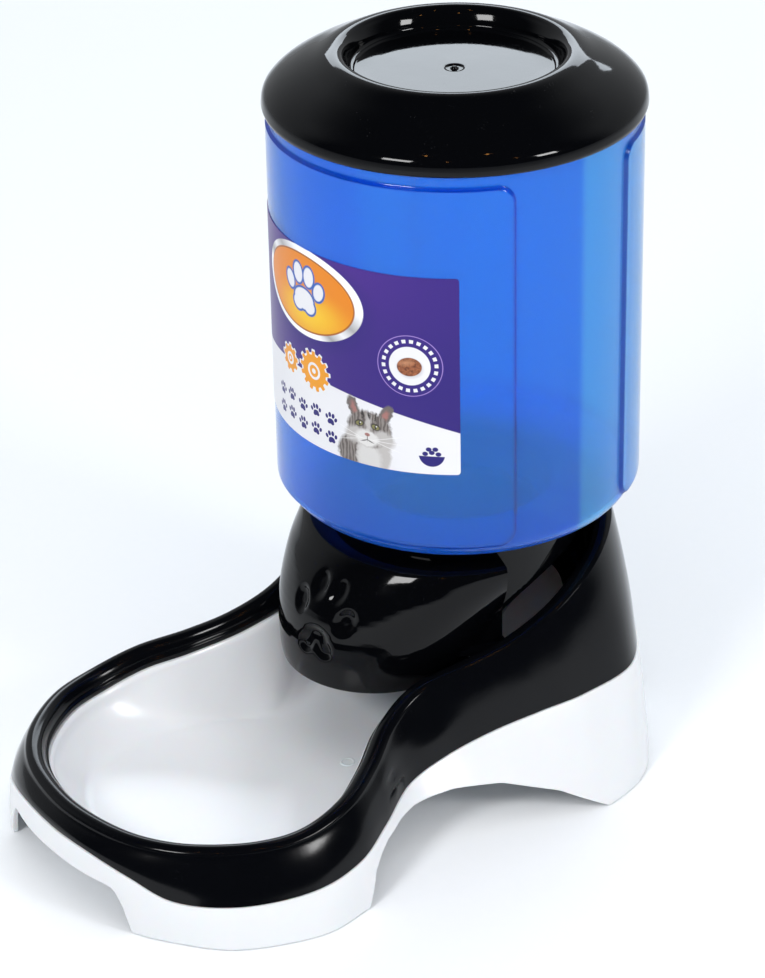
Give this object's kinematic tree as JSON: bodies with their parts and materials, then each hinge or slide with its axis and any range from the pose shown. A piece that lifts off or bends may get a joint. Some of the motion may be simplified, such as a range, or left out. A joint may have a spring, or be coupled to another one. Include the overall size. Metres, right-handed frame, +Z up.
{
  "type": "gravity pet feeder",
  "caption": "Gravity pet feeder: a clear hopper with a domed lid stands in a hood that drops dry food into an open bowl with a rolled rim and a flared, arched base.",
  "frame": {"origin": "on the floor, under the middle of the feeder's length and width", "axes": "+Z up, the bowl towards -Y, +X to the right as seen from the bowl"},
  "size_m": [0.1902, 0.2835, 0.3075],
  "materials": {
    "black_gloss": "high-gloss injection-moulded black",
    "clear_blue": "translucent blue, glossy",
    "label_film": "printed film, satin",
    "white_gloss": "glossy injection-moulded white",
    "screw_steel": "zinc-plated steel"
  },
  "bodies": {
    "base": {"base_tray": "white_gloss", "cover": "black_gloss", "cover_screws": "screw_steel"},
    "hood": {"feed_hood": "black_gloss"},
    "hopper": {"hopper": "clear_blue", "front_label": "label_film"},
    "lid": {"lid": "black_gloss"}
  },
  "joints": [
    {"name": "hood_lift", "type": "slide", "parent": "base", "child": "hood", "axis": [0, 0, 1], "range_m": [0, 0.12]},
    {"name": "hopper_twist", "type": "hinge", "parent": "hood", "child": "hopper", "pos_m": [0, 0.0655, 0.105], "axis": [0, 0, 1], "range_deg": [0, 45]},
    {"name": "lid_lift", "type": "slide", "parent": "hopper", "child": "lid", "axis": [0, 0, 1], "range_m": [0, 0.06]}
  ]
}
